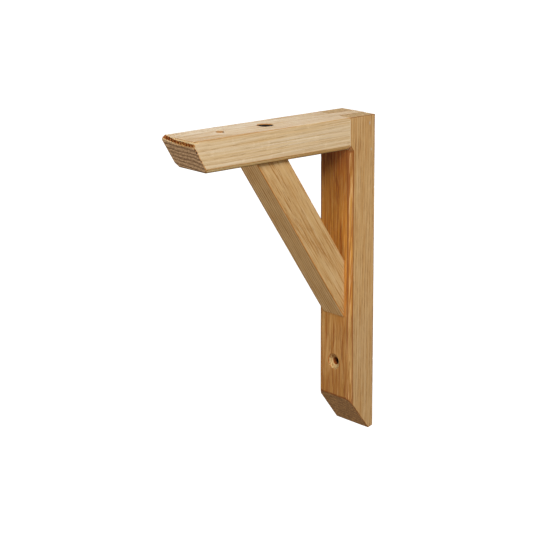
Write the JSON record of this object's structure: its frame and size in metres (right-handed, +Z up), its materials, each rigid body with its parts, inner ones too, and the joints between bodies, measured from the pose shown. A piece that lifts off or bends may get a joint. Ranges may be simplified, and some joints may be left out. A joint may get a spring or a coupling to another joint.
{
  "type": "wooden corbel bracket",
  "caption": "Triangular wooden wall bracket: wall leg and shelf arm joined at a right angle, mitred diagonal brace, slanting ends, countersunk screw holes.",
  "frame": {"origin": "middle of the wall leg's back face, half way between the bracket's top and the tip of its foot", "axes": "+Y into the wall, -Y out along the shelf arm, +Z up to the shelf, X across the bracket"},
  "size_m": [0.03, 0.1411, 0.202],
  "materials": {
    "leg_oak": "planed oak batten under a thin clear oil, orange brown, with short dark pores along the grain",
    "arm_oak": "planed oak batten under a thin clear oil, pale yellow tan, straight close grain, darker sawn front end",
    "brace_oak": "planed oak batten under a thin clear oil, warm tan, grain along the brace",
    "black_steel": "black coated steel wood screw, slightly glossy"
  },
  "bodies": {
    "root": {"wall_leg": "leg_oak", "shelf_arm": "arm_oak", "diagonal_brace": "brace_oak", "arm_screw": "black_steel"}
  },
  "joints": []
}
